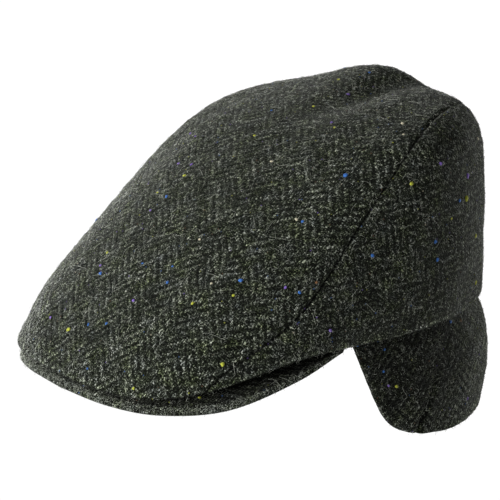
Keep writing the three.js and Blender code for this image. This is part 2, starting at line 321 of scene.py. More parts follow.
def grainMap(p, n, axis, turn, rounds=12):
    # cloth coordinates in millimetres: the smooth function whose change over every step of the grid is
    # closest to the step's own parts along and across the grain. The grain starts along the axis laid into
    # the surface, and after each fit it turns by the angle that the fit turned it, so that the cloth bends
    # its columns instead of stretching.
    up = unit(axis - (n @ axis)[..., None] * n)
    around = np.cross(up, n)
    basis = solidPowers(p)
    pairs = [(np.s_[1:], np.s_[:-1]), (np.s_[:, 1:], np.s_[:, :-1])]
    changes = np.concatenate([(basis[k] - basis[m]).reshape(-1, basis.shape[-1]) for k, m in pairs])
    solve = np.linalg.pinv(changes, 1e-9)
    grid = [np.gradient(p, axis=k) for k in (0, 1)]
    laid = [np.stack([(g * around).sum(-1), (g * up).sum(-1)], -1) for g in grid]
    angle = np.zeros(p.shape[:2])
    for _ in range(rounds):
        s, c = np.sin(angle)[..., None], np.cos(angle)[..., None]
        frames = (c * around - s * up, s * around + c * up)
        parts = [np.stack([((p[k] - p[m]) * (f[k] + f[m]) / 2).sum(-1) for f in frames], -1).reshape(-1, 2)
                 for k, m in pairs]
        flat = basis @ (solve @ np.concatenate(parts))
        turned = [np.gradient(flat, axis=k) for k in (0, 1)]
        cross = sum(a[..., 0] * b[..., 1] - a[..., 1] * b[..., 0] for a, b in zip(laid, turned))
        angle = np.arctan2(cross, sum((a * b).sum(-1) for a, b in zip(laid, turned)))
    s, c = math.sin(math.radians(turn)), math.cos(math.radians(turn))
    return np.stack([flat[..., 0] * c + flat[..., 1] * s, flat[..., 1] * c - flat[..., 0] * s], -1)


def shellObject(name, outer, inner, maps, wrap=False, pole=False):
    # one closed mesh: an outer and an inner grid, joined along their borders, with a triangle fan where a
    # row is a pole; each flat map comes as a pair of grids, outer and inner
    columns, rows = outer.shape[:2]
    if pole:
        outer, inner = outer.copy(), inner.copy()
        for grid in (outer, inner, *(flat for pair in maps.values() for flat in pair)):
            grid[:, -1] = grid[0, -1]
    index = np.arange(columns * rows).reshape(columns, rows)
    if pole:
        index[:, -1] = index[0, -1]
    if wrap:
        index = np.vstack([index, index[:1]])
    a, b, c, d = index[:-1, :-1], index[1:, :-1], index[1:, 1:], index[:-1, 1:]
    outside = np.stack([a, b, c, d], -1).reshape(-1, 4)
    far = columns * rows
    inside = outside[:, ::-1] + far
    sides = [(index[1:, 0], index[:-1, 0])]
    if not pole:
        sides.append((index[:-1, -1], index[1:, -1]))
    if not wrap:
        sides += [(index[0, :-1], index[0, 1:]), (index[-1, 1:], index[-1, :-1])]
    borders = [np.stack([s, e, e + far, s + far], -1) for s, e in sides]
    quads = np.vstack([outside, inside, *borders])
    if pole:
        folded = quads[:, 2] == quads[:, 3]
        foldedIn = quads[:, 0] == quads[:, 1]
        triangles = quads[folded][:, :3].tolist() + quads[foldedIn][:, 1:].tolist()
        faces = quads[~(folded | foldedIn)].tolist() + triangles
    else:
        faces = quads.tolist()
    points = np.vstack([outer.reshape(-1, 3), inner.reshape(-1, 3)])
    used = np.zeros(len(points), bool)
    used[quads] = True
    fresh = np.cumsum(used) - 1
    faces = [fresh[face].tolist() for face in faces]
    flats = {key: np.vstack([flat.reshape(-1, 2) for flat in pair])[used] for key, pair in maps.items()}
    return meshObject(name, points[used], faces, flats)


def meshObject(name, points, faces, maps=None):
    # smooth mesh in metres, with each flat map as a UV map
    mesh = bpy.data.meshes.new(name)
    mesh.from_pydata((points * mm).tolist(), [], faces)
    mesh.polygons.foreach_set("use_smooth", np.ones(len(mesh.polygons), bool))
    corner = np.zeros(len(mesh.loops), np.int32)
    mesh.loops.foreach_get("vertex_index", corner)
    for key, flat in (maps or {}).items():
        layer = mesh.uv_layers.new(name=key)
        layer.data.foreach_set("uv", (flat[corner] * mm).astype(np.float32).ravel())
    made = bpy.data.objects.new(name, mesh)
    bpy.context.scene.collection.objects.link(made)
    return made


def towardsPole(count, gather):
    # shares from 0 to 1 that grow as an exponential of gather, so closest together at the start
    s = np.linspace(0, 1, count)
    return (np.exp(gather * s) - 1) / (math.exp(gather) - 1)


def crownShell(ribs, start, end, shares, seamAt, hemmed):
    # outer and inner grids between two rises on every rib: rolled in at seams by a bell curve, half round
    # and thicker along the hem
    rise = start[:, None] + (end - start)[:, None] * shares
    outer = crownPoint(ribs[:, None], rise)
    normal = crownNormal(ribs[:, None], rise)
    fromStart = lengths(outer, 1)
    height = fromStart[:, -1:]
    seamDistance = seamAt(outer, fromStart, height)
    hemDistance = np.where(hemmed[:, None], fromStart, farAway)
    along = lengths(outer[:, :1], 0)
    drift = 2 * np.sin(along / crown["puckerDrift"])
    pucker = crown["puckerHeight"] * np.sin(2 * np.pi * along / crown["puckerSpacing"] + drift)
    at = np.abs(ribs)
    flattened = smoothStep(*crown["pressedFrom"], at) - smoothStep(*crown["pressedTo"], at)
    pressed = 1 - (1 - crown["pressedShare"]) * flattened[:, None]
    roll = pressed * np.exp(-((seamDistance / crown["grooveWidth"]) ** 2))
    gathers = pucker * np.exp(-((seamDistance / crown["puckerReach"]) ** 2))
    waves = smoothStep(*crown["hemCalm"], hemDistance) * (clothHand(outer) + gathers)
    lift = waves - crown["grooveDepth"] * roll
    hem = np.clip(1 - hemDistance / crown["hemHeight"], 0, 1)
    thick = crown["cloth"] + crown["hem"] * hem
    level = unit(-normal * (1, 1, 0)) + (0, 0, crown["hemTilt"])
    inward = -normal * (1 - hem[..., None]) + level * hem[..., None]
    radius = np.minimum((crown["cloth"] + crown["hem"]) / 2, 0.45 * height)
    rounding = edgeRound(hemDistance, radius)
    inner = outer + inward * (thick - rounding)[..., None] + normal * lift[..., None]
    outer = outer + normal * lift[..., None] + inward * rounding[..., None]
    # distances that the material paints shade and light by: from the seams, reading further off and so
    # lighter where pressed flat, and from the hem
    edges = np.stack([seamDistance + 2 * (1 - pressed), hemDistance], -1)
    return outer, inner, normal, edges


upAxis, backAxis = np.array([0.0, 0, 1]), np.array([0.0, 1, 0])
sheets = {}  # outer grids by piece, for the nap and the flecks


def topPanel():
    # closed ring of ribs from the hem or the seam up to the apex
    columns, rows = crown["topGrid"]
    ribs = np.linspace(-lastRib, lastRib, columns, endpoint=False)
    start = seamRise(ribs)
    hemmed = start <= 0

    def seamAt(outer, fromStart, height):
        # only those ribs that start on the seam run to it
        return np.where(hemmed[:, None], farAway, fromStart)

    shares = towardsPole(rows, crown["topGather"])
    outer, inner, normal, edges = crownShell(ribs, start, np.ones(columns), shares, seamAt, hemmed)
    maps = {"cloth": (grainMap(outer, normal, backAxis, 0),) * 2, "edges": (edges,) * 2}
    sheets["top_panel"] = (outer, normal, edges)
    return shellObject("top_panel_cloth", outer, inner, maps, wrap=True, pole=True)


def sidePanel(side, name, grain):
    # ribs from the seam's start to the back centre, from the hem up to the seam
    columns, rows = crown["sideGrid"]
    first = crown["seam"][0][0] + crown["seamStartGap"]
    half = first + (lastRib - first) * np.linspace(0, 1, columns) ** crown["sideGather"]
    ribs = half if side > 0 else -half[::-1]
    backColumn = -1 if side > 0 else 0

    def seamAt(outer, fromStart, height):
        # the nearer of the top seam and the seam at the back
        fromBack = np.abs(lengths(outer, 0) - lengths(outer, 0)[backColumn])
        return np.minimum(height - fromStart, fromBack)

    s = np.linspace(0, 1, rows)
    shares = s - crown["sideEase"] * np.sin(2 * np.pi * s) / (2 * np.pi)
    hemmed = np.ones(columns, bool)
    outer, inner, normal, edges = crownShell(ribs, 0 * ribs, seamRise(ribs), shares, seamAt, hemmed)
    sheets[name] = (outer, normal, edges)
    maps = {"cloth": (grainMap(outer, normal, upAxis, grain),) * 2, "edges": (edges,) * 2}
    return shellObject(name + "_cloth", outer, inner, maps)


# The peak: a board covered in tweed. Columns: rib, then x, y, z of its outer edge on the upper face.
peakBoard = {
    "end": 4.65,
    "edge": [(0, 0, -152.5, -16), (1, 35.5, -149, -16), (2, 62, -136.5, -16.3), (3, 81.5, -111.5, -14.2),
             (4, 87, -74, -7), (4.65, 85.9, -46, 0.6)],
    "headHalfWidth": 80,
    "headHalfLength": 98,
    "headHeight": 1,
    "sweep": 70,  # degrees round the head
    "thickness": 4,
    "endThickness": 2,
    "crownHeight": 1.5,
    "lean": -1.4,
    "creaseReach": 3.5,  # mm from its outer edge within which the painted shadow under the crown's hem fades out
    "grid": (260, 70),  # columns and rows
    "gather": 3.2,  # brings the rows closer together at the outer edge
}


def peakPoint(rib, reach):
    # straight from the head's ellipse to the outer edge, arched between them
    ends = np.abs(rib) / peakBoard["end"]
    turn = np.radians(peakBoard["sweep"]) * ends
    side = np.where(rib < 0, -1, 1)
    edge = [smoothTable(peakBoard["edge"], k, np.abs(rib)) for k in (1, 2, 3)]
    inside = np.stack([side * peakBoard["headHalfWidth"] * np.sin(turn),
                       -peakBoard["headHalfLength"] * np.cos(turn), peakBoard["headHeight"] + 0 * turn], -1)
    outside = np.stack([side * edge[0], edge[1], edge[2]], -1)
    p = inside + (outside - inside) * reach[..., None]
    p[..., 2] += peakBoard["crownHeight"] * (1 - ends**2) * np.sin(np.pi * reach)
    return p + slump(p, peakBoard["lean"])


def peakShell():
    # upper and lower faces either side of the board's middle, meeting in a half-round outer edge
    end = peakBoard["end"]
    columns, rows = peakBoard["grid"]
    rib = np.linspace(-end, end, columns)[:, None] * np.ones(rows)
    reach = np.broadcast_to(1 - towardsPole(rows, peakBoard["gather"])[::-1], rib.shape)
    thick = peakBoard["thickness"] + (peakBoard["endThickness"] - peakBoard["thickness"]) * (rib / end) ** 2
    p = peakPoint(rib, reach)
    fromEdge = lengths(p[:, ::-1], 1)[:, ::-1]
    half = thick / 2 - edgeRound(fromEdge, thick / 2)
    middle = p - upAxis * (thick / 2)[..., None]
    upper, lower = middle + upAxis * half[..., None], middle - upAxis * half[..., None]
    normal = unit(np.cross(np.gradient(upper, axis=1), np.gradient(upper, axis=0)))
    cloth = grainMap(upper, normal, backAxis, 0)[::-1]
    hem = ribColumns(rib)[..., :2]
    fromHem = ((upper[..., :2] - hem) * unit(hem - np.array(crown["apex"][:2]))).sum(-1)
    # painted shadow on the upper face just in front of and under the crown's hem, kept off the outer edge;
    # none on the lower face
    hemShadowGap = np.maximum(fromHem, 0) + np.maximum(peakBoard["creaseReach"] - fromEdge, 0)
    edges = [np.stack([gap, fromEdge], -1)[::-1] for gap in (hemShadowGap, farAway + 0 * hemShadowGap)]
    sheets["peak"] = (upper[::-1], normal[::-1], edges[0])
    return shellObject("peak_cloth", upper[::-1], lower[::-1], {"cloth": (cloth, cloth), "edges": edges})


# The ear flap. Columns: rib, drop below the crown's edge, bulge of its middle, flare of its lower edge.
earFlap = {
    "rows": [
        (4.87, 1, 0, 0), (5.08, 22.5, 0.5, 0), (5.3, 42.5, 1, 0), (5.54, 52.4, 1.5, 0),
        (6, 59.5, 3, 1), (6.6, 62, 5, 5), (7.5, 59, 6, 6), (9, 54, 6, 5),
    ],
    "thickness": 3.2,
    "tuck": 11,  # how far it goes up inside the crown
    "inset": 5.2,
    "bulgeRise": 0.85,
    "calmBelow": (2, 8),  # the cloth's waves begin between these depths under the crown's edge
    "dartFoot": (7, -57),  # y and z of the dart's lower and upper ends
    "dartTip": (20, -24),
    "dartDepth": 1.5,
    "dartWidth": 1.3,
    "dartFade": (0.55, 1.05),  # shares of the way to the tip
    "swell": (0.7, 5, 4),  # height, distance and width of the fullness either side of the dart
    "dartShade": 0.6,  # keeps the dart's painted shade less dark than a seam's
    "bend": 5.7,  # rib where the front edge has turned into the lower one
    "columns": (90, 130),  # before and after it, on each side
    "layers": 60,  # rows from the lower edge up
    "gather": 2.6,  # brings them closer together at the lower edge
}


def flapPoint(rib, hang):
    # the crown's edge moved inwards and hung down, bulging and flaring below the edge
    rows = earFlap["rows"]
    at = lastRib - np.abs(lastRib - rib)
    drop, bulge, flare = (smoothTable(rows, k, at) for k in (1, 2, 3))
    step = 0.02
    edge = ribColumns(rib)[..., :3]
    along = unit((ribColumns(rib + step) - ribColumns(rib - step))[..., :2])
    z = earFlap["tuck"] - (earFlap["tuck"] + drop) * hang
    below = np.maximum(-z, 0) / drop
    out = bulge * np.sin(np.pi * below ** earFlap["bulgeRise"]) + flare * below - earFlap["inset"]
    return edge + np.stack([along[..., 1] * out, -along[..., 0] * out, z], -1)


def dartAcross(p):
    # distance from the dart's line in the side view and place along it, for both sides of the cap
    foot, tip = np.array(earFlap["dartFoot"]), np.array(earFlap["dartTip"])
    way = (tip - foot) / np.linalg.norm(tip - foot)
    rel = p[..., 1:] - foot
    place = (rel @ way) / np.linalg.norm(tip - foot)
    return rel[..., 0] * way[1] - rel[..., 1] * way[0], place


def flapShell():
    # two layers quilted together, half round along the lower edge, drawn in along the dart
    first, bend = earFlap["rows"][0][0], earFlap["bend"]
    front, back = earFlap["columns"]
    half = np.append(np.linspace(first, bend, front, endpoint=False), np.linspace(bend, lastRib, back))
    rib = np.concatenate([half, 2 * lastRib - half[-2::-1]])[:, None] * np.ones(earFlap["layers"])
    hang = 1 - towardsPole(earFlap["layers"], earFlap["gather"]) + 0 * rib
    outer = flapPoint(rib, hang)
    normal = normalOf(flapPoint, rib, hang, -0.02, 0.02)
    normal = normal * np.sign((normal[..., :2] * outer[..., :2]).sum(-1, keepdims=True))
    fromEdge = lengths(outer, 1)
    rim = outer[:, 0]
    run = np.linalg.norm(np.gradient(rim[:, :2], axis=0), axis=-1)
    slope = np.gradient(rim[:, 2]) / np.maximum(run, 1e-6)
    fromEdge = fromEdge / np.sqrt(1 + slope[:, None] ** 2)
    rounding = edgeRound(fromEdge, earFlap["thickness"] / 2)
    across, place = dartAcross(outer)
    height, distance, width = earFlap["swell"]
    swell = height * np.exp(-(((np.abs(across) - distance) / width) ** 2))
    groove = earFlap["dartDepth"] * np.exp(-((across / earFlap["dartWidth"]) ** 2))
    dart = (1 - smoothStep(*earFlap["dartFade"], place)) * (swell - groove)
    wave = smoothStep(*earFlap["calmBelow"], -outer[..., 2]) * (clothHand(outer) + dart)
    inner = outer - normal * (earFlap["thickness"] - rounding - wave)[..., None]
    outer = outer + normal * (wave - rounding)[..., None]
    cloth = grainMap(outer, normal, upAxis, 0)
    # painted shade along the dart's line, and painted shadow on the flap just under the crown's edge
    dartCrease = np.where(place < 1, np.abs(across) + earFlap["dartShade"], farAway)
    edges = np.stack([np.minimum(dartCrease, np.maximum(-1 - outer[..., 2], 0)), fromEdge], -1)
    sheets["ear_flap"] = (outer, normal, edges)
    return shellObject("ear_flap_cloth", outer, inner, {"cloth": (cloth, cloth), "edges": (edges, edges)})


pieces = {
    "top_panel": topPanel(),
    "side_panel_left": sidePanel(1, "side_panel_left", 45),
    "side_panel_right": sidePanel(-1, "side_panel_right", -45),
    "peak": peakShell(),
    "ear_flap": flapShell(),
}
for name, piece in pieces.items():
    piece.data.calc_loop_triangles()
    print("shape", name, len(piece.data.loop_triangles))
for name, piece in pieces.items():
    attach(piece, "root")
    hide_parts(name)


def addNode(tree, kind, *inputs, named=None, **settings):
    # kind is the node's type, with its operation after a colon; inputs fill the live sockets in order,
    # or by name
    kind, _, operation = kind.partition(":")
    node = tree.nodes.new("ShaderNode" + kind)
    if operation:
        settings["operation"] = operation
    for key, value in settings.items():
        setattr(node, key, value)
    live = [socket for socket in node.inputs if socket.enabled]
    pairs = list(zip(live, inputs)) + [(next(s for s in live if s.name == key), value)
                                       for key, value in (named or {}).items()]
    for socket, value in pairs:
        if isinstance(value, bpy.types.NodeSocket):
            tree.links.new(value, socket)
        elif value is not None:
            socket.default_value = value
    return next((socket for socket in node.outputs if socket.enabled), None)


def hexColour(code):
    # sRGB hex to linear light
    channels = [int(code[i:i + 2], 16) / 255 for i in (1, 3, 5)]
    return tuple(c / 12.92 if c <= 0.04045 else ((c + 0.055) / 1.055) ** 2.4 for c in channels) + (1,)


def emptyMaterial(name):
    # a bare material, and addNode for its tree
    made = bpy.data.materials.new(name)
    made.use_nodes = True
    made.node_tree.nodes.clear()
    return made, partial(addNode, made.node_tree)


tweed = {
    "yarn": 1.3,  # mm from yarn to yarn, both ways
    "float": 4,  # yarns from one float to the next: over two and under two
    "column": 9,  # yarns in a herringbone column
    "wander": 0.7,  # yarns that the weave strays
    "yarnRound": 0.55,  # parts of a yarn's height that its round section and its over and under take
    "yarnWave": 0.45,
    "wool": [(0.15, "#0d0f0b"), (0.45, "#2c3127"), (0.7, "#5b6056"), (1.0, "#b5b8ae")],  # tone, colour
    "moss": "#e3ecc4",  # tints laid over the wool
    "heather": "#d9dcf2",
    "noises": {  # length in mm, detail, roughness and distortion of the spots in the wool
        "stray": (14, 2, 0.5, 0),
        "fuzz": (0.8, 2, 0.7, 0),
        "clump": (2.6, 1, 0.5, 0),
        "coil": (1.8, 1, 0.5, 0.8),
        "patch": (12, 2, 0.6, 0),
        "tint": (9, 2, 0.6, 0),
    },
    "warpTone": 0.25,
    "weftTone": 0.0,
    "floatTone": 0.28,  # by chance, for each float
    "tones": {  # mean of each kind of spot, and how strongly it counts in the tone
        "fibre": (0.5, 1.5),
        "fuzz": (0.5, 2.2),
        "clump": (0.5, 0.4),
        "strand": (0.25, 0.35),
        "patch": (0.5, 0.4),
    },
    "depth": 0.7,  # mm of relief
    "hollowShade": 0.25,  # painted shade: brightness left between the yarns
    "creaseShade": 0.4,  # painted shade: brightness left in a seam
    "creaseWidth": (0.2, 1.8),  # mm, over which the painted seam shade fades
    "edgeHighlightWidth": (2.2, 4.5),  # painted highlight, from an open edge
    # painted shade right under an open edge
    "underShadeWidth": (1.0, 2.4),
    "bloom": "#c9ccc0",
}


def tweedMaterial(name, edgeHighlight, under, shaded=None):
    # 2/2 twill turning back every nine yarns, a heather of dark and pale wool, rough, with a soft bloom at
    # the rim, a painted highlight along its open edges and painted shade right under them
    made, add = emptyMaterial(name)
    cloth = add("UVMap", uv_map="cloth")
    yarns = add("VectorMath:SCALE", cloth, named={"Scale": 1 / (tweed["yarn"] * mm)})
    spots = {}
    for kind, (length, detail, rough, twist) in tweed["noises"].items():
        spots[kind] = add("TexNoise", cloth, noise_dimensions="2D", named={
            "Scale": 1 / (length * mm), "Detail": detail, "Roughness": rough, "Distortion": twist})
    centred = add("VectorMath:SUBTRACT", spots["stray"].node.outputs["Color"], (0.5, 0.5, 0.5))
    wandered = add("VectorMath:MULTIPLY_ADD", centred, (2 * tweed["wander"],) * 3, yarns)
    a = add("SeparateXYZ", wandered)
    b = a.node.outputs["Y"]
    column = tweed["column"]
    i, j = add("Math:FLOOR", a), add("Math:FLOOR", b)
    fa, fb = add("Math:FRACT", a), add("Math:FRACT", b)
    side = add("Math:GREATER_THAN", add("Math:FLOORED_MODULO", a, 2 * column), column)
    jump = add("Math:MULTIPLY_ADD", side, 2.0, -0.5)
    stepWarp = add("Math:ADD", add("Math:PINGPONG", add("Math:ADD", i, 0.5), column), jump)
    stepWeft = add("Math:ADD", add("Math:PINGPONG", a, column), jump)
    warpPlace = add("Math:ADD", b, stepWarp)
    weftPlace = add("Math:ADD", j, stepWeft)

    def yarnHeight(share, place, middle):
        # round section across the yarn, over two and under two along it
        across = add("Math:MULTIPLY", add("Math:SUBTRACT", share, 0.5), 2.0)
        section = add("Math:MULTIPLY_ADD", add("Math:MULTIPLY", across, across), -tweed["yarnRound"],
                      tweed["yarnRound"])
        turn = add("Math:MULTIPLY", add("Math:SUBTRACT", place, middle), 2 * math.pi / tweed["float"])
        return add("Math:MULTIPLY_ADD", add("Math:COSINE", turn), tweed["yarnWave"], section)

    warpHeight = yarnHeight(fa, warpPlace, 1.0)
    weftHeight = yarnHeight(fb, weftPlace, 2.5)
    height = add("Math:MAXIMUM", warpHeight, weftHeight)
    onTop = add("MapRange", add("Math:SUBTRACT", warpHeight, weftHeight), -0.12, 0.12, 0.0, 1.0,
                interpolation_type="SMOOTHSTEP")

    def floatTone(yarn, place, shift, tone):
        # every float of a yarn has its own mix of dark and pale wool
        number = add("Math:FLOOR", add("Math:DIVIDE", place, tweed["float"]))
        chance = add("TexWhiteNoise", add("CombineXYZ", yarn, number, shift), noise_dimensions="3D")
        return add("Math:MULTIPLY_ADD", chance, tweed["floatTone"], tone)

    warp = floatTone(i, warpPlace, 1.0, tweed["warpTone"])
    weft = floatTone(j, add("Math:SUBTRACT", weftPlace, 0.5), 2.0, tweed["weftTone"])
    yarnTone = add("Mix", onTop, weft, warp, data_type="FLOAT")

    def fibreTone(alongA, alongB):
        # fine streaks that run with the yarn
        stretched = add("VectorMath:MULTIPLY", wandered, (alongA, alongB, 1))
        return add("TexNoise", stretched, named={"Scale": 1.0, "Detail": 3.0, "Roughness": 0.75},
                   noise_dimensions="2D")

    fibre = add("Mix", onTop, fibreTone(0.9, 2.2), fibreTone(2.2, 0.9), data_type="FLOAT")
    spots["fibre"] = fibre
    offCoil = add("Math:ABSOLUTE", add("Math:SUBTRACT", spots["coil"], 0.5))
    spots["strand"] = add("MapRange", offCoil, 0.0, 0.07, 1.0, 0.0)
    tone = yarnTone
    for kind, (mean, strength) in tweed["tones"].items():
        tone = add("Math:MULTIPLY_ADD", add("Math:SUBTRACT", spots[kind], mean), strength, tone)
    ramp = add("ValToRGB", tone)
    stops = ramp.node.color_ramp.elements
    stops[0].position, stops[1].position = tweed["wool"][0][0], tweed["wool"][-1][0]
    for place, _ in tweed["wool"][1:-1]:
        stops.new(place)
    for stop, (_, colour) in zip(stops, tweed["wool"]):
        stop.color = hexColour(colour)
    dyed = ramp
    for tint, full, most in (("moss", 0.75, 1.0), ("heather", 0.2, 0.7)):
        strength = add("MapRange", spots["tint"], 0.45, full, 0.0, most)
        dyed = add("Mix", strength, dyed, hexColour(tweed[tint]), data_type="RGBA", blend_type="MULTIPLY")
    # painted shade between the yarns, darkest where the weave is lowest
    hollowShade = add("MapRange", height, -0.1, 0.75, tweed["hollowShade"], 1.0, interpolation_type="SMOOTHSTEP")
    seamAway = add("SeparateXYZ", add("UVMap", uv_map="edges"))
    edgeAway = seamAway.node.outputs["Y"]
    shade = hollowShade
    # painted shade in seams and creases, a painted highlight along open edges, and painted shade right
    # under them
    for away, width, least in ((seamAway, "creaseWidth", tweed["creaseShade"]),
                               (edgeAway, "edgeHighlightWidth", edgeHighlight), (edgeAway, "underShadeWidth", under)):
        low, high = tweed[width]
        near = add("MapRange", away, low * mm, high * mm, least, 1.0, interpolation_type="SMOOTHSTEP")
        shade = add("Math:MULTIPLY", shade, near)
    if shaded:
        # painted shade where the crown keeps the light off it, and painted light further away, on both
        # sides of the cap
        place = add("VectorMath:ABSOLUTE", add("TexCoord").node.outputs["Object"])
        away = add("VectorMath:DISTANCE", place, tuple(mm * k for k in shaded["at"])).node.outputs["Value"]
        low, high = shaded["reach"]
        near = add("MapRange", away, low * mm, high * mm, shaded["least"], shaded["most"],
                   interpolation_type="SMOOTHSTEP")
        shade = add("Math:MULTIPLY", shade, near)
    dyed = add("Mix", 1.0, dyed, shade, data_type="RGBA", blend_type="MULTIPLY")
    relief = add("Math:MULTIPLY_ADD", fibre, 0.5, height)
    bump = add("Bump", named={"Strength": 1.0, "Distance": tweed["depth"] * mm, "Height": relief})
    shader = add("BsdfPrincipled", named={
        "Base Color": dyed, "Roughness": 0.95, "Specular IOR Level": 0.08, "Normal": bump,
        "Sheen Weight": 0.1, "Sheen Roughness": 0.3, "Sheen Tint": hexColour(tweed["bloom"])})
    add("OutputMaterial", shader)
    return made


# painted shade on the flap's front under the crown and painted light on its back: brightness from least
# near the spot to most far from it
flapShade = {
    "at": (80, 8, 14),  # mm from the middle of the head opening: across, along and down, whichever side
    "reach": (15, 62),
    "least": 0.44,
    "most": 1.4,
}
# for each tweed, as shares of brightness: the painted highlight along its open edges, then the painted
# shade right under them
cloths = {
    "top_panel": tweedMaterial("crown top tweed, brushed wool", 1.5, 0.35),
    "side": tweedMaterial("crown side tweed, brushed wool", 2.0, 0.35),
    "peak": tweedMaterial("peak tweed, brushed wool", 1.4, 1.0),
    "ear_flap": tweedMaterial("flap tweed, brushed wool", 1.3, 1.0, flapShade),
}
for name, piece in pieces.items():
    piece.data.materials.append(cloths.get(name, cloths["side"]))
print("tweed made")


def gridPoints(sheet, count, rng, clear=(-1, -1)):
    # places spread over a sheet by area, further than the given millimetres from its seams and its open
    # edge: cells drawn by chance, then a place inside the cell
    p, n, edges = sheets[sheet]
    if sheet == "top_panel":
        p, n, edges = (np.concatenate([g, g[:1]]) for g in (p, n, edges))
    across, along = p[1:, :-1] - p[:-1, :-1], p[:-1, 1:] - p[:-1, :-1]
    area = np.linalg.norm(np.cross(across, along), axis=-1) * (edges[:-1, :-1] > clear).all(-1)
    cell = rng.choice(area.size, count, p=(area / area.sum()).ravel())
    i, j = np.unravel_index(cell, area.shape)
    u, v = rng.uniform(size=(2, count, 1))

    def read(g):
        # between the cell's four corners
        near = g[i, j] * (1 - u) + g[i + 1, j] * u
        return near * (1 - v) + (g[i, j + 1] * (1 - u) + g[i + 1, j + 1] * u) * v

    return read(p), unit(read(n))


nap = {
    "perSquare": 0.38,  # hairs on a square millimetre
    "width": (0.11, 0.19),  # mm; wool is 0.03 mm, drawn coarser so that it still shows
    "length": (1.0, 2.8),
    "lift": (0.1, 1.0),  # height that it stands off the cloth
    "curl": 0.5,
    "bends": 2,
    "arch": (0.1, 0.9),  # the part of a half circle that its path follows
    "sink": 0.35,  # mm of its root in the cloth
    "taper": 0.6,
    "shares": (0.36, 0.26, 0.38),  # pale, grey and dark
    "clear": (1.3, -1),  # mm that it keeps from seams and from open edges
    "strayPerSquare": 0.009,  # long curly ones
    "strayLength": (5, 10),
    "strayBends": 5,
    "strayClear": (-1, 6),
}


def fibreMesh(name, root, normal, rng, span, bends):
    # three-sided hairs on a curved path: forward along the cloth, up in an arch, sideways in a wave, and
    # tapering to a tip
    count = len(root)
    length = rng.uniform(*span, (count, 1, 1))
    curl = nap["curl"] * rng.uniform(-1, 1, (count, 1, 1))
    heading = unit(np.cross(normal, rng.normal(size=(count, 3))))
    aside = np.cross(normal, heading)
    t = np.linspace(0, 1, bends + 1)[None, :, None]
    phase, wave = rng.uniform(0, 2 * np.pi, (2, count, 1, 1))
    sideways = curl * length * (np.sin(0.9 * wave * t + phase) - np.sin(phase))
    begin, end = nap["arch"]
    arch = np.sin(np.pi * (begin + (end - begin) * t))
    upward = rng.uniform(*nap["lift"], (count, 1, 1)) * arch - nap["sink"]
    path = (root[:, None] + heading[:, None] * length * t + aside[:, None] * sideways
            + normal[:, None] * upward)
    forward = unit(np.gradient(path, axis=1))
    out = unit(np.cross(forward, aside[:, None]))
    beside = np.cross(forward, out)
    angle = (np.arange(3) * 2 * np.pi / 3)[:, None]
    radius = rng.uniform(*nap["width"], (count, 1, 1, 1)) / 2 * (1 - nap["taper"] * t[..., None])
    circle = out[:, :, None] * np.cos(angle) + beside[:, :, None] * np.sin(angle)
    ring = path[:, :, None] + radius * circle
    points = np.concatenate([ring[:, :-1].reshape(count, -1, 3), path[:, -1:]], 1)
    k = np.arange(3)
    low = (np.arange(bends - 1)[:, None] * 3 + k).ravel()
    lowNext = (np.arange(bends - 1)[:, None] * 3 + (k + 1) % 3).ravel()
    quads = np.stack([low, lowNext, lowNext + 3, low + 3], -1)
    last = (bends - 1) * 3
    tips = np.stack([last + k, last + (k + 1) % 3, np.full(3, last + 3)], -1)
    base = np.array([[2, 1, 0]])
    start = np.arange(count)[:, None, None] * points.shape[1]
    faces = (quads + start).reshape(-1, 4).tolist()
    faces += (np.concatenate([tips, base]) + start).reshape(-1, 3).tolist()
    made = meshObject(name, points.reshape(-1, 3), faces)
    shade = rng.choice(3, count, p=nap["shares"])
    index = np.concatenate([np.repeat(shade, len(quads)), np.repeat(shade, 4)]).astype(np.int32)
    made.data.polygons.foreach_set("material_index", index)
    return made


def fibreMaterial(name, colour):
    # single wool fibres: matt, with a little sheen
    made, add = emptyMaterial(name)
    shader = add("BsdfPrincipled", named={"Base Color": hexColour(colour), "Roughness": 0.8,
                                          "Specular IOR Level": 0.2, "Sheen Weight": 0.1})
    add("OutputMaterial", shader)
    return made


fibreColours = {"pale": "#adb1a5", "grey": "#5d6255", "dark": "#171914"}
fibreMaterials = [fibreMaterial(key + " wool fibre", colour) for key, colour in fibreColours.items()]
sheetArea = {  # roughly, in square millimetres
    "top_panel": 40000,
    "side_panel_left": 19000,
    "side_panel_right": 19000,
    "peak": 9000,
    "ear_flap": 22000,
}
for number, sheet in enumerate(sheets):
    rng = np.random.default_rng(20 + number)
    for kind, share, span, bends, clear in (
            ("nap_", nap["perSquare"], nap["length"], nap["bends"], nap["clear"]),
            ("strays_", nap["strayPerSquare"], nap["strayLength"], nap["strayBends"], nap["strayClear"])):
        root, normal = gridPoints(sheet, int(share * sheetArea[sheet]), rng, clear)
        hairs = fibreMesh(kind + sheet, root, normal, rng, span, bends)
        for made in fibreMaterials:
            hairs.data.materials.append(made)
        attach(hairs, "root")
        print(kind, sheet, len(root))


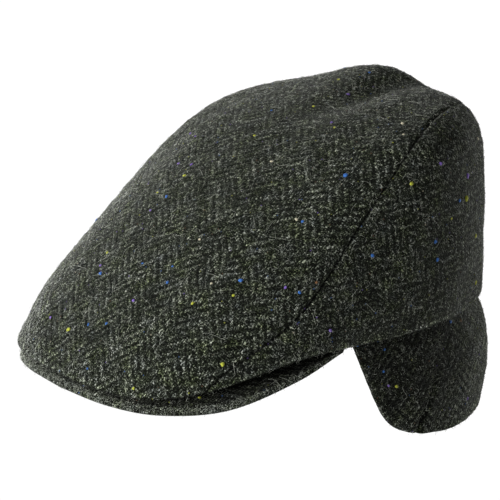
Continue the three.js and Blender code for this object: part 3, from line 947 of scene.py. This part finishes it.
flecks = {
    "halfWidth": 0.8,  # mm, of a knot of size 1
    "height": 0.5,  # half height over half width
    "fibre": 0.5,  # mm
    "colours": {
        "blue": "#3568b0",
        "lime": "#a9ae3c",
        "lilac": "#7d62b4",
        "cream": "#c4bda4",
        "rust": "#6e4f33",
    },
    # those that face the camera: x and y of the photograph's pixel that each is seen at, and its size
    "charted": {
        "blue": [
            (345, 175, 1.5), (369, 72, 0.9), (271, 110, 0.8), (166, 196, 1), (302, 221, 0.9),
            (100, 273, 1.2), (142, 263, 0.7), (172, 266, 0.7), (167, 282, 0.9), (240, 280, 1.2),
            (299, 292, 0.9), (88, 324, 0.9), (106, 323, 0.9), (87, 368, 0.7), (372, 255, 1.2),
            (435, 241, 1.3), (437, 259, 1.3), (459, 200, 1.1), (450, 321, 1), (384, 349, 0.8),
            (383, 371, 0.8),
        ],
        "lime": [
            (338, 79, 1), (313, 106, 1), (334, 127, 0.8), (254, 135, 1), (184, 175, 1.1),
            (157, 192, 0.7), (107, 252, 1), (233, 295, 0.9), (192, 303, 1), (68, 329, 1.3),
            (222, 364, 1.3), (199, 397, 1), (133, 388, 0.9), (411, 183, 1.3), (466, 198, 1.9),
            (475, 235, 1.5), (475, 282, 1.5), (451, 218, 0.8), (396, 386, 1),
        ],
        "lilac": [
            (348, 94, 1.1), (331, 122, 1), (178, 163, 0.8), (191, 164, 0.9), (150, 210, 0.8),
            (100, 265, 0.9), (133, 300, 0.9), (285, 287, 0.9), (50, 317, 0.9), (330, 330, 1),
            (440, 163, 1.2), (467, 175, 1.8), (388, 385, 0.9), (190, 133, 0.8), (195, 136, 0.7),
            (467, 398, 1),
        ],
        "cream": [
            (271, 161, 1.1), (199, 239, 0.9), (296, 219, 0.9), (211, 283, 0.9), (402, 123, 1.2),
            (403, 134, 0.8), (477, 138, 1),
        ],
        "rust": [
            (460, 320, 0.9), (316, 282, 0.9),
        ],
    },
    "spread": 260,  # more of them by chance where the camera doesn't see
    "spreadSize": (0.8, 1.3),
    "hiddenBy": 3,  # mm, at least, that the cloth in front of a hidden place is nearer the camera
    "faint": 900,  # small dull ones everywhere
    "faintSize": (0.28, 0.5),
    "faintDull": 0.45,  # share of a knot's brightness
}


def fleckMesh(name, root, normal, size, rng):
    # a flattened ball for each, of three rings and two poles, knobbly, and longer one way than the other
    count, around = len(root), 8
    heading = unit(np.cross(normal, rng.normal(size=(count, 3))))
    aside = np.cross(normal, heading)
    turn = np.arange(around) * 2 * np.pi / around
    climb = np.radians([-45, 0, 45])[:, None]
    wide, high = np.cos(climb), np.sin(climb)
    rings = np.stack([wide * np.cos(turn), wide * np.sin(turn), high + 0 * turn], -1)
    ball = np.concatenate([rings.reshape(-1, 3), [[0, 0, -1], [0, 0, 1]]])
    knobs = rng.uniform(0.75, 1.25, (count, len(ball), 1))
    longer = rng.uniform(1, 1.3, count)
    scale = size[:, None] * np.stack([longer, np.ones(count), np.full(count, flecks["height"])], -1)
    local = ball * knobs * scale[:, None]
    points = (root[:, None] + heading[:, None] * local[..., :1] + aside[:, None] * local[..., 1:2]
              + normal[:, None] * (local[..., 2:] + 0.1))
    k = np.arange(around)
    following = (k + 1) % around
    bottom, top = len(ball) - 2, len(ball) - 1
    band = np.stack([k, following, around + following, around + k], -1)
    quads = np.concatenate([band, band + around])
    caps = np.concatenate([np.stack([following, k, np.full(around, bottom)], -1),
                           np.stack([2 * around + k, 2 * around + following, np.full(around, top)], -1)])
    start = np.arange(count)[:, None, None] * len(ball)
    faces = (quads + start).reshape(-1, 4).tolist() + (caps + start).reshape(-1, 3).tolist()
    return meshObject(name, points.reshape(-1, 3), faces)


def fleckMaterial(name, colour, bright):
    # dyed wool knot, brighter than the cloth, with its own fine fibres
    made, add = emptyMaterial(name)
    place = add("TexCoord").node.outputs["Object"]
    fibres = add("TexNoise", place, named={"Scale": 1 / (flecks["fibre"] * mm), "Detail": 2.0})
    tone = add("MapRange", fibres, 0.35, 0.65, 0.5 * bright, 1.2 * bright)
    dyed = add("Mix", 1.0, hexColour(colour), tone, data_type="RGBA", blend_type="MULTIPLY")
    shader = add("BsdfPrincipled", named={"Base Color": dyed, "Roughness": 0.85, "Specular IOR Level": 0.2,
                                          "Sheen Weight": 0.1})
    add("OutputMaterial", shader)
    return made


def makeTrees():
    # one search tree of each replaced cloth's mesh, in metres
    trees = {}
    for key, piece in pieces.items():
        mesh = piece.data
        spots = np.zeros(len(mesh.vertices) * 3)
        mesh.vertices.foreach_get("co", spots)
        faces = [tuple(face.vertices) for face in mesh.polygons]
        trees[key] = BVHTree.FromPolygons(spots.reshape(-1, 3).tolist(), faces)
    return trees


def nearestHit(trees, start, way):
    # the first cloth that a line meets: distance, place, normal
    hits = [tree.ray_cast(start, way) for tree in trees.values()]
    hits = [(hit[3], hit[0], hit[1]) for hit in hits if hit[0] is not None]
    return min(hits, key=lambda hit: hit[0]) if hits else (math.inf, None, None)


def pixelRay(x, y):
    # direction from the camera through a pixel of the photograph
    way = Vector(((x + 0.5 - photoSide / 2) / focal, (photoSide / 2 - y - 0.5) / focal, -1))
    return (camera.matrix_world.to_3x3() @ way).normalized()


def makeFlecks():
    # the charted knots under their pixels, others by chance where the camera sees none, faint ones all over
    trees = makeTrees()
    rng = np.random.default_rng(31)
    eye = camera.location
    charted = sum(len(spots) for spots in flecks["charted"].values())
    allArea = sum(sheetArea.values())

    def outOfSight(spot):
        # whether the line to it meets cloth well before it
        away = Vector(spot * mm) - eye
        return nearestHit(trees, eye, away.normalized())[0] < away.length - flecks["hiddenBy"] * mm

    for colour, spots in flecks["charted"].items():
        found = [(nearestHit(trees, eye, pixelRay(x, y)), size) for x, y, size in spots]
        found = [(hit[1] / mm, hit[2], size) for hit, size in found if hit[1] is not None]
        root, normal, size = (np.array(part, float) for part in zip(*found))
        roots, normals, sizes, dulls = [root], [normal], [size], [np.zeros(len(root), int)]
        count = int(flecks["spread"] * len(spots) / charted)
        for key in sheets:
            places, ups = gridPoints(key, int(count * sheetArea[key] / allArea), rng)
            hidden = [outOfSight(place) for place in places]
            faintCount = int(flecks["faint"] / len(flecks["charted"]) * sheetArea[key] / allArea)
            faintPlaces, faintUps = gridPoints(key, faintCount, rng)
            roots += [places[hidden], faintPlaces]
            normals += [ups[hidden], faintUps]
            sizes.append(rng.uniform(*flecks["spreadSize"], sum(hidden)))
            sizes.append(rng.uniform(*flecks["faintSize"], faintCount))
            dulls += [np.zeros(sum(hidden), int), np.ones(faintCount, int)]
        root, normal = np.concatenate(roots), unit(np.concatenate(normals))
        size = flecks["halfWidth"] * np.concatenate(sizes)
        knots = fleckMesh("flecks_" + colour, root, normal, size, rng)
        faces = knots.data.polygons
        dull = np.repeat(np.concatenate(dulls).astype(np.int32), len(faces) // (2 * len(root)))
        faces.foreach_set("material_index", np.concatenate([dull, dull]))  # quads first, then caps
        for word, bright in (("", 1), ("dull ", flecks["faintDull"])):
            made = fleckMaterial(word + colour + " wool fleck", flecks["colours"][colour], bright)
            knots.data.materials.append(made)
        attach(knots, "root")
        print("flecks", colour, len(root))


makeFlecks()


light = {
    "zenith": 0.35,
    "zenithFrom": (0.2, 0.6),  # heights of a direction, from level at 0 to straight up at 1
    "horizon": 0.0,
    "ground": 0.79,  # what a white table throws back
    "groundTo": (-0.3, -0.05),
    "white": 1.05,  # what the camera sees round the cap
    "floor": -0.3,  # metres
    "lampSide": 0.6,
    "lamps": {  # metres to the picture's right, up and to the camera, and watts
        "key": ((-0.95, 0.0, 0.95), 25),
        "rim": ((-0.95, 0.0, -0.95), 51),
        "kicker": ((0.95, 0.0, -0.95), 9.5),
        "crest": ((-0.1, 0.8, -1.2), 20),
    },
}


def makeStudio():
    # white round the cap, which is lit by a soft key to the left, by lamps behind it to the left, to the
    # right and above, and by pale light from overhead and from the table
    world = bpy.data.worlds.new("studio")
    world.use_nodes = True
    world.node_tree.nodes.clear()
    add = partial(addNode, world.node_tree)
    height = add("SeparateXYZ", add("TexCoord")).node.outputs["Z"]
    low = add("MapRange", height, *light["groundTo"], light["ground"], light["horizon"],
              interpolation_type="SMOOTHSTEP")
    glow = add("MapRange", height, *light["zenithFrom"], low, light["zenith"],
               interpolation_type="SMOOTHSTEP")
    seen = add("Mix", add("LightPath"), glow, light["white"], data_type="FLOAT")
    add("OutputWorld", add("Background", hexColour("#ffffff"), seen))
    bpy.context.scene.world = world
    back, right, up = viewAxes()
    for name, (place, watts) in light["lamps"].items():
        data = bpy.data.lights.new(name, "AREA")
        data.size, data.energy = light["lampSide"], watts
        lamp = bpy.data.objects.new(name, data)
        bpy.context.scene.collection.objects.link(lamp)
        lamp.location = right * place[0] + up * place[1] + back * place[2]
        lamp.rotation_mode = "QUATERNION"
        lamp.rotation_quaternion = (-lamp.location).to_track_quat("-Z", "Y")
    bpy.ops.mesh.primitive_plane_add(size=24, location=(0, 0, light["floor"]))
    floor = bpy.context.object
    floor.name = "floor"
    floor.visible_diffuse = floor.visible_glossy = floor.visible_shadow = False
    made, add = emptyMaterial("white studio floor")
    add("OutputMaterial", add("Emission", hexColour("#ffffff"), light["white"]))
    floor.data.materials.append(made)


makeStudio()
bpy.context.scene.view_settings.view_transform = "Standard"
